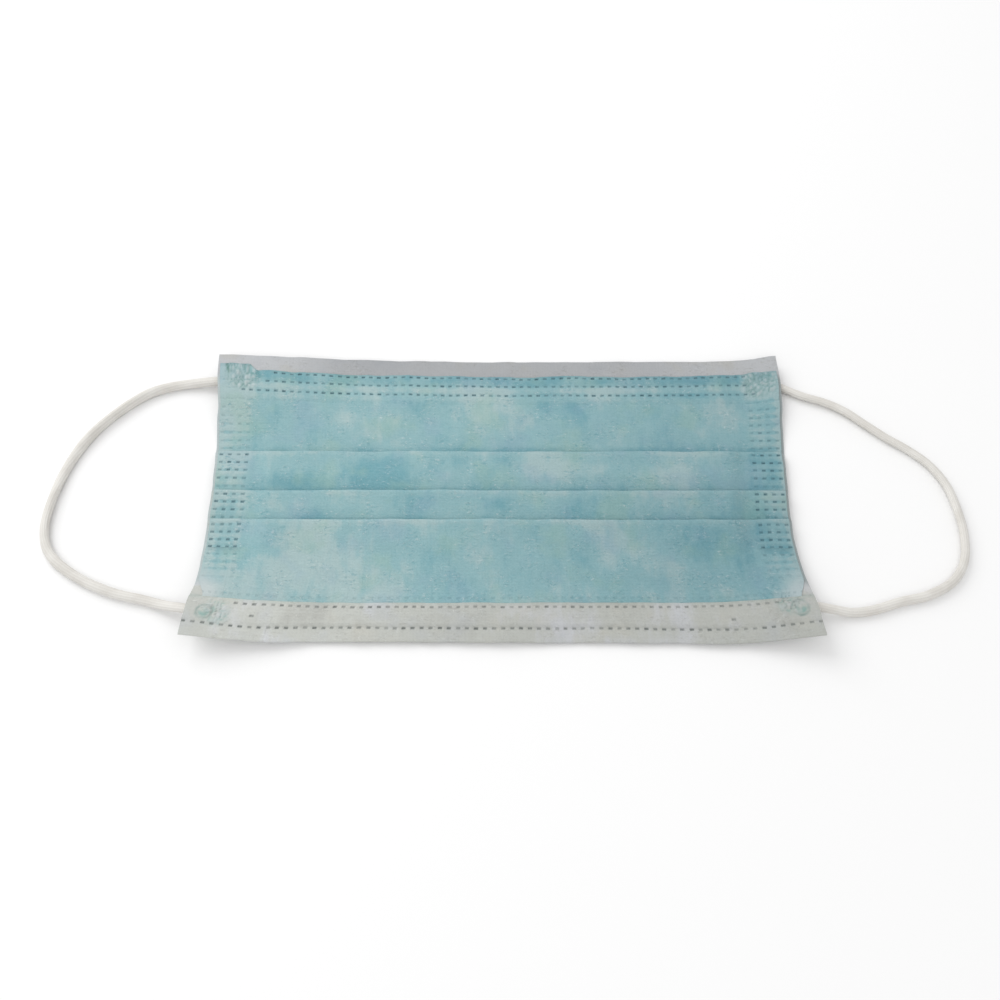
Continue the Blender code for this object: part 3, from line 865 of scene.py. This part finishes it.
# Heights of the folded-over flap's middle and of its ridge over the wire, along Y, in millimetres
FLAP_HEIGHTS = ((-47.5, 0.74), (-46.0, 0.76), (-44.6, 0.69), (-43.9, 0.59), (-43.1, 0.61), (-42.2, 0.86),
                (-39.6, 0.90), (-38.4, 0.88), (-37.4, 0.86), (-36.0, 0.83))
WIRE_RIDGE = ((-47.5, 0), (-43.6, 0), (-42.4, 0.26), (-39.6, 0.24), (-38.4, 0), (-36.0, 0))


def smooth_between(pairs, y):
    """Height at y, with an even start and end of the slope between neighbouring pairs."""
    places, heights = np.array(pairs).T * MM
    at = np.clip(np.searchsorted(places, y) - 1, 0, len(places) - 2)
    share = (y - places[at]) / (places[at + 1] - places[at])
    return heights[at] + (heights[at + 1] - heights[at]) * ease(share)


def add_outer_ply(material):
    """The coloured ply, from inside the nose band to its cut edge at the chin."""
    rows = pleat_rows(-HALF_HEIGHT + NOSE_BAND - NOSE_OVERLAP, OUTER_ROWS, True)
    chin = HALF_HEIGHT - CHIN_BORDER
    kept = [row for row in rows if row.y < chin - ROW_MARGIN]
    kept.append(Row(chin, FLOOR_LAYER, 0.0, CORNER, True))
    ply, length = add_ply("outer_ply", kept, OUTER_HALF_WIDTH, PLY_OFFSET, outer_relief, outer_paint,
                          outer_warp, material)
    finish_piece(ply, "blue_nonwoven", "pleated_panel")


def add_inner_ply(material):
    """The white ply, from the mouth of the band round the nose edge and under the pleats to the chin."""
    flap_height = partial(smooth_between, FLAP_HEIGHTS)
    lower = FLOOR_LAYER - PLY_OFFSET
    upper = float(flap_height(-HALF_HEIGHT))
    fold = -HALF_HEIGHT + (upper - lower) / 2 + PLY / 2
    flap = layer(MOUTH, fold, flap_height, BAND_ROWS, EVERYWHERE, partial(smooth_between, WIRE_RIDGE))
    turn = half_turn(fold, upper, lower, -1, True)
    under = pleat_rows(fold, (*BAND_ROWS, *OUTER_ROWS), False)
    # The press leaves its marks of the chin corners on the outer ply alone
    under = [row for row in under if row.flags != CORNER or row.y < 0]
    # The laminate's middle line lies above the inner ply, and the flap's rows are the ply's own
    flap = [row._replace(z=row.z - PLY_OFFSET) for row in flap]
    turn = [row._replace(z=row.z + PLY_OFFSET * (row.z - upper / 2 - lower / 2) / (lower - upper) * 2)
            for row in turn]
    ply, length = add_ply("inner_ply", flap + turn + under, HALF_WIDTH, -PLY_OFFSET, inner_relief,
                          inner_paint, inner_warp, material)
    finish_piece(ply, "white_nonwoven", "chin_border", "nose_band", "pleated_panel")


# Wire and pressed ends


WIRE_RINGS, WIRE_POINTS = 105, 28
WIRE_CORE, WIRE_CORE_REACH = 0.0009, 0.0004  # the cores' distance from the middle and their reach
WIRE_GAP = 0.00003


def add_wire(material):
    """The plated strip inside the band, with a core along each of its edges."""
    turns = 2 * pi * np.arange(WIRE_POINTS) / WIRE_POINTS
    c, s = np.cos(turns), np.sin(turns)
    off_y = WIRE_WIDTH / 2 * signed_power(c, 0.6)
    core = 0.72 + 0.28 * np.exp(-((abs(off_y) - WIRE_CORE) / WIRE_CORE_REACH) ** 2)
    y = -HALF_HEIGHT + WIRE_INSET + off_y
    off_z = WIRE_THICKNESS / 2 * signed_power(s, 0.5) * core
    z = FLOOR_LAYER - PLY_OFFSET + PLY / 2 + WIRE_GAP + WIRE_THICKNESS / 2 + off_z
    places = np.linspace(-WIRE_LENGTH / 2, WIRE_LENGTH / 2, WIRE_RINGS)
    rings = [settle(x, y, z) for x in places]
    finish_piece(add_tube("nose_wire_strip", rings, material, 40), "nose_wire_metal", "nose_wire")


DIMPLE, DIMPLE_DEPTH = 0.0011, 0.0001
PRESSED_WIDE, PRESSED_THIN = 0.0019, 0.00038  # half the width and thickness of a pressed end
PRESSED_TOP = 0.00046  # from the corner's underside to its middle
PRESSED_RINGS = 14


def add_pressed_end(end, material):
    """The end of a loop, pressed flat under its corner."""
    c, s = np.cos(TURNS), -end.side * np.sin(TURNS)
    start = HALF_WIDTH - TAB_INSET + CLEARANCE
    shares = np.concatenate([np.linspace(0, 0.45, PRESSED_RINGS), np.linspace(0.5, 1.0, PRESSED_RINGS)])
    rings = []
    for share in shares:
        flat = ease(share / 0.42)
        power = 1 - 0.45 * flat
        narrowed = 1 - 0.35 * ease((share - 0.9) / 0.1)
        half_y = (CORD_WIDE + (PRESSED_WIDE - CORD_WIDE) * flat) * narrowed
        half_z = CORD_NARROW + (PRESSED_THIN - CORD_NARROW) * flat
        middle_z = -CLEARANCE - CORD_RADIUS + (CORD_RADIUS + CLEARANCE - PRESSED_TOP) * flat
        off_y = half_y * signed_power(c, power)
        off_z = half_z * signed_power(s, power) * (1 + 0.06 * (RIB - 0.5))
        x = end.side * (start - share * TAB_LENGTH)
        dimples = np.cos(x / DIMPLE * pi) * np.cos(off_y / DIMPLE * pi)
        off_z = off_z - np.sign(s) * DIMPLE_DEPTH * flat * np.maximum(0, dimples)
        y = end.edge * (HALF_HEIGHT - end.inset) + off_y
        rings.append(settle(x, y, middle_z + off_z))
    add_elastic(f"pressed_end_{end.name}", f"loop_end_{end.name}", rings, shares * TAB_LENGTH, material)


# Materials


BOND_SPACING, KNIT_SPACING = 1.9, 0.55  # in millimetres, as the cloth attribute is
FIBRE_COLOUR = (0.75, 0.82, 0.82)
# Pale colour of specks, also painted as highlight on raised puckers
SPECK_AND_HIGHLIGHT_COLOUR = (0.85, 0.88, 0.87)
# Pale colour for cloth that fades towards white, also the painted highlight on the corner crinkles' crests
FADE_AND_HIGHLIGHT_COLOUR = srgb(198, 206, 206)
# Each palette's colour for stains is also painted as shade in the corner crinkles' valleys
Palette = namedtuple("Palette", "deep middle pale fused stained cool warm shadow")
BLUE_CLOTH = Palette(srgb(106, 159, 169), srgb(135, 175, 180), srgb(161, 186, 187), srgb(58, 96, 106),
                     srgb(84, 128, 120), srgb(130, 162, 182), srgb(146, 180, 166), (0.61, 0.68, 0.72))
WHITE_CLOTH = Palette(srgb(183, 184, 178), srgb(195, 197, 191), srgb(206, 208, 211), srgb(102, 108, 105),
                      srgb(128, 172, 166), srgb(186, 191, 200), srgb(203, 199, 186), (0.56, 0.56, 0.56))
Fields = namedtuple("Fields", "patches grain fibres bonds speck raised sunken")


class Nodes:
    """Short calls that add shader nodes to one material."""

    def __init__(self, name):
        self.material = bpy.data.materials.new(name)
        self.material.use_nodes = True
        self.tree = self.material.node_tree
        self.shader = self.tree.nodes["Principled BSDF"]

    def add(self, kind, inputs=(), **settings):
        node = self.tree.nodes.new(kind)
        for key, value in settings.items():
            setattr(node, key, value)
        for key, value in dict(inputs).items():
            self.put(node.inputs[key], value)
        return node

    def put(self, socket, value):
        if isinstance(value, bpy.types.NodeSocket):
            self.tree.links.new(value, socket)
        else:
            socket.default_value = value

    def attribute(self, name, output="Fac"):
        return self.add("ShaderNodeAttribute", attribute_name=name).outputs[output]

    def math(self, operation, a, b=0.0, clamp=False):
        return self.add("ShaderNodeMath", {0: a, 1: b}, operation=operation, use_clamp=clamp).outputs[0]

    def times(self, a, b, clamp=False):
        return self.math("MULTIPLY", a, b, clamp)

    def stretch(self, vector, scale, turn=0.0):
        inputs = {"Vector": vector, "Scale": scale, "Rotation": (0.0, 0.0, radians(turn))}
        return self.add("ShaderNodeMapping", inputs).outputs[0]

    def noise(self, vector, scale, detail=3.0, rough=0.5, distortion=0.0):
        keys = ("Vector", "Scale", "Detail", "Roughness", "Distortion")
        inputs = zip(keys, (vector, scale, detail, rough, distortion))
        return self.add("ShaderNodeTexNoise", inputs).outputs["Fac"]

    def ramp(self, value, low, high, to_low=0.0, to_high=1.0):
        inputs = {"Value": value, "From Min": low, "From Max": high, "To Min": to_low, "To Max": to_high}
        return self.add("ShaderNodeMapRange", inputs, interpolation_type="SMOOTHSTEP").outputs[0]

    def mix(self, share, a, b, blend="MIX"):
        node = self.add("ShaderNodeMix", data_type="RGBA", blend_type=blend)
        for key, value in ((0, share), (6, a), (7, b)):
            self.put(node.inputs[key], (*value, 1.0) if isinstance(value, tuple) else value)
        return node.outputs[2]

    def tint(self, colour, target, field, weight):
        return self.mix(self.times(field, weight), colour, target)

    def weigh(self, *parts):
        """Sum of fields, each times its weight."""
        total = 0.0
        for field, weight in parts:
            total = self.math("ADD", self.times(field, weight), total)
        return total

    def bump(self, height, distance, strength):
        node = self.add("ShaderNodeBump", {"Height": height, "Distance": distance, "Strength": strength})
        self.dress({"Normal": node.outputs[0]})

    def dress(self, inputs):
        """Set the sockets of the material's own shader."""
        for key, value in inputs.items():
            self.put(self.shader.inputs[key], value)


def fibre_web(nodes, cloth):
    """Thin random fibres that cross each other, from 0 to 1."""
    web = 0.0
    for turn, scale in ((18.0, 1.7), (-35.0, 1.5), (82.0, 1.9), (-68.0, 1.6)):
        field = nodes.noise(nodes.stretch(cloth, (0.32, 1.5, 1.0), turn), scale, 2.0, 0.5, 0.6)
        off = nodes.math("ABSOLUTE", nodes.math("SUBTRACT", field, 0.5))
        web = nodes.math("MAXIMUM", nodes.ramp(off, 0.0, 0.05, 1.0, 0.0), web)
    return web


def bond_points(nodes, cloth):
    """The small pressed points that hold spun fibres together, in staggered rows."""
    split = nodes.add("ShaderNodeSeparateXYZ", {0: cloth})
    slants = [nodes.math(kind, split.outputs[0], split.outputs[1]) for kind in ("ADD", "SUBTRACT")]
    rows = [nodes.math("COSINE", nodes.times(slant, 2 * pi / BOND_SPACING)) for slant in slants]
    return nodes.ramp(nodes.times(*rows), 0.45, 0.85)


def nonwoven_fields(nodes, cloth):
    """The fine detail that shows in both the colour and the bump of spun fabric."""
    cluster = nodes.ramp(nodes.noise(cloth, 0.16, 2.0, 0.5), 0.46, 0.60)
    puckers = nodes.noise(nodes.stretch(cloth, (0.62, 1.15, 1.0)), 1.25, 2.0, 0.55, 0.4)
    clustered = (nodes.ramp(nodes.noise(cloth, 1.5, 1.0, 0.5), 0.66, 0.72),
                 nodes.ramp(puckers, 0.58, 0.72), nodes.ramp(puckers, 0.43, 0.32))
    speck, raised, sunken = [nodes.times(field, cluster) for field in clustered]
    patches = nodes.noise(nodes.stretch(cloth, (1.0, 0.6, 1.0)), 0.15, 4.0, 0.6, 0.3)
    grain = nodes.noise(cloth, 1.3, 4.0, 0.65)
    return Fields(patches, grain, fibre_web(nodes, cloth), bond_points(nodes, cloth), speck, raised, sunken)


def nonwoven_colour(nodes, cloth, fields, palette):
    """Cloudy density and a drifting hue, then the fine detail with painted highlight and shade on the
    puckers, the stains and the shade.
    """
    clouds = nodes.noise(cloth, 0.045)
    streaks = nodes.noise(nodes.stretch(cloth, (0.40, 0.07, 1.0)), 1.0, 3.0, 0.6)
    density = nodes.weigh((clouds, 1.6), (fields.patches, 0.9), (streaks, 0.35), (fields.grain, 0.16),
                          (nodes.attribute("tone"), 0.45))
    colour = nodes.mix(nodes.ramp(density, 1.13, 1.505), palette.pale, palette.middle)
    colour = nodes.mix(nodes.ramp(density, 1.505, 1.96), colour, palette.deep)
    hue = nodes.noise(cloth, 0.07, 3.0, 0.55)
    colour = nodes.mix(nodes.ramp(hue, 0.52, 0.70, 0.0, 0.30), colour, palette.cool)
    colour = nodes.mix(nodes.ramp(hue, 0.48, 0.32, 0.0, 0.34), colour, palette.warm)
    # Fibres, bond points and specks, then painted highlight on raised puckers and painted shade in sunken
    # ones, which the bump raises and sinks as well
    for tint in ((FIBRE_COLOUR, fields.fibres, 0.08), (palette.fused, fields.bonds, 0.05),
                 (SPECK_AND_HIGHLIGHT_COLOUR, fields.speck, 0.22), (SPECK_AND_HIGHLIGHT_COLOUR, fields.raised, 0.22),
                 (palette.deep, fields.sunken, 0.45)):
        colour = nodes.tint(colour, *tint)
    # Stains, with painted shade in the corner crinkles' valleys, then fading towards white, with painted
    # highlight on their crests
    colour = nodes.mix(nodes.attribute("stain"), colour, palette.stained)
    colour = nodes.mix(nodes.attribute("fade"), colour, FADE_AND_HIGHLIGHT_COLOUR)
    return nodes.mix(nodes.attribute("shade"), colour, palette.shadow, "MULTIPLY")


def make_nonwoven(name, palette):
    """Spun fabric: cloudy density, crossing fibres, bond points, and darker fused welds."""
    nodes = Nodes(name)
    cloth = nodes.attribute("cloth", "Vector")
    fields = nonwoven_fields(nodes, cloth)
    colour = nonwoven_colour(nodes, cloth, fields, palette)
    weld = nodes.attribute("weld")
    broken = nodes.ramp(nodes.noise(cloth, 1.8, 2.0, 0.6), 0.25, 0.6, 0.65, 1.0)
    colour = nodes.mix(nodes.times(weld, broken, clamp=True), colour, palette.fused)
    fused = nodes.weigh((weld, 0.6), (fields.bonds, 0.2))
    nodes.dress({"Base Color": colour, "Roughness": nodes.ramp(fused, 0.0, 0.8, 0.86, 0.48),
                 "Specular IOR Level": 0.35, "Sheen Weight": 0.12, "Sheen Roughness": 0.5})
    relief = nodes.weigh((fields.fibres, 0.35), (fields.grain, 0.40), (fields.patches, 0.9),
                         (fields.speck, 0.8), (fields.bonds, -0.3), (fields.raised, 1.1),
                         (fields.sunken, -1.1))
    nodes.bump(relief, 0.00016, 0.6)
    return nodes.material


def make_elastic():
    """Off-white covered elastic: lengthwise ribs with painted shade in their grooves, a fine cross knit and
    a little fuzz.
    """
    nodes = Nodes("covered_elastic")
    cloth = nodes.attribute("cloth", "Vector")
    split = nodes.add("ShaderNodeSeparateXYZ", {0: cloth})
    knit = nodes.math("SINE", nodes.times(split.outputs[1], 2 * pi / KNIT_SPACING))
    fuzz = nodes.noise(nodes.stretch(cloth, (2.2, 0.8, 1.0)), 1.6, 4.0, 0.65)
    clouds = nodes.noise(cloth, 0.12)
    # Painted shade in the grooves between the ribs
    shaded_valley = nodes.math("SUBTRACT", 1.0, nodes.attribute("rib"))
    colour = nodes.mix(nodes.ramp(clouds, 0.35, 0.65), srgb(214, 211, 205), srgb(226, 224, 219))
    colour = nodes.tint(colour, srgb(176, 171, 163), shaded_valley, 0.24)
    colour = nodes.mix(nodes.ramp(fuzz, 0.55, 0.8, 0.0, 0.35), colour, srgb(242, 241, 238))
    nodes.dress({"Base Color": colour, "Roughness": 0.8, "Sheen Weight": 0.2, "Sheen Roughness": 0.4})
    nodes.bump(nodes.weigh((knit, 0.18), (fuzz, 0.9)), 0.00012, 0.7)
    return nodes.material


def make_wire_metal():
    """Zinc-plated strip with faint drawing lines along it."""
    nodes = Nodes("plated_wire")
    place = nodes.add("ShaderNodeTexCoord").outputs["Object"]
    lines = nodes.noise(nodes.stretch(place, (60.0, 4200.0, 4200.0)), 1.0, 3.0, 0.6)
    dull = nodes.noise(place, 240.0)
    colour = nodes.mix(nodes.ramp(dull, 0.35, 0.7), srgb(196, 198, 200), srgb(168, 170, 172))
    rough = nodes.ramp(dull, 0.3, 0.7, 0.32, 0.52)
    nodes.dress({"Base Color": colour, "Metallic": 1.0, "Roughness": rough})
    nodes.bump(lines, 0.00003, 0.5)
    return nodes.material


def main():
    add_camera()
    add_floor()
    add_light()
    elastic = make_elastic()
    add_loop("ear_loop_cord_left", "ear_loop_left", LOOP_ENDS[:2], ROUTE_LEFT, 1.0, 31, elastic)
    add_loop("ear_loop_cord_right", "ear_loop_right", LOOP_ENDS[2:], ROUTE_RIGHT, 0.94, 41, elastic)
    for end in LOOP_ENDS:
        add_pressed_end(end, elastic)
    add_wire(make_wire_metal())
    add_inner_ply(make_nonwoven("white_spun_fabric", WHITE_CLOTH))
    add_outer_ply(make_nonwoven("blue_spun_fabric", BLUE_CLOTH))


main()
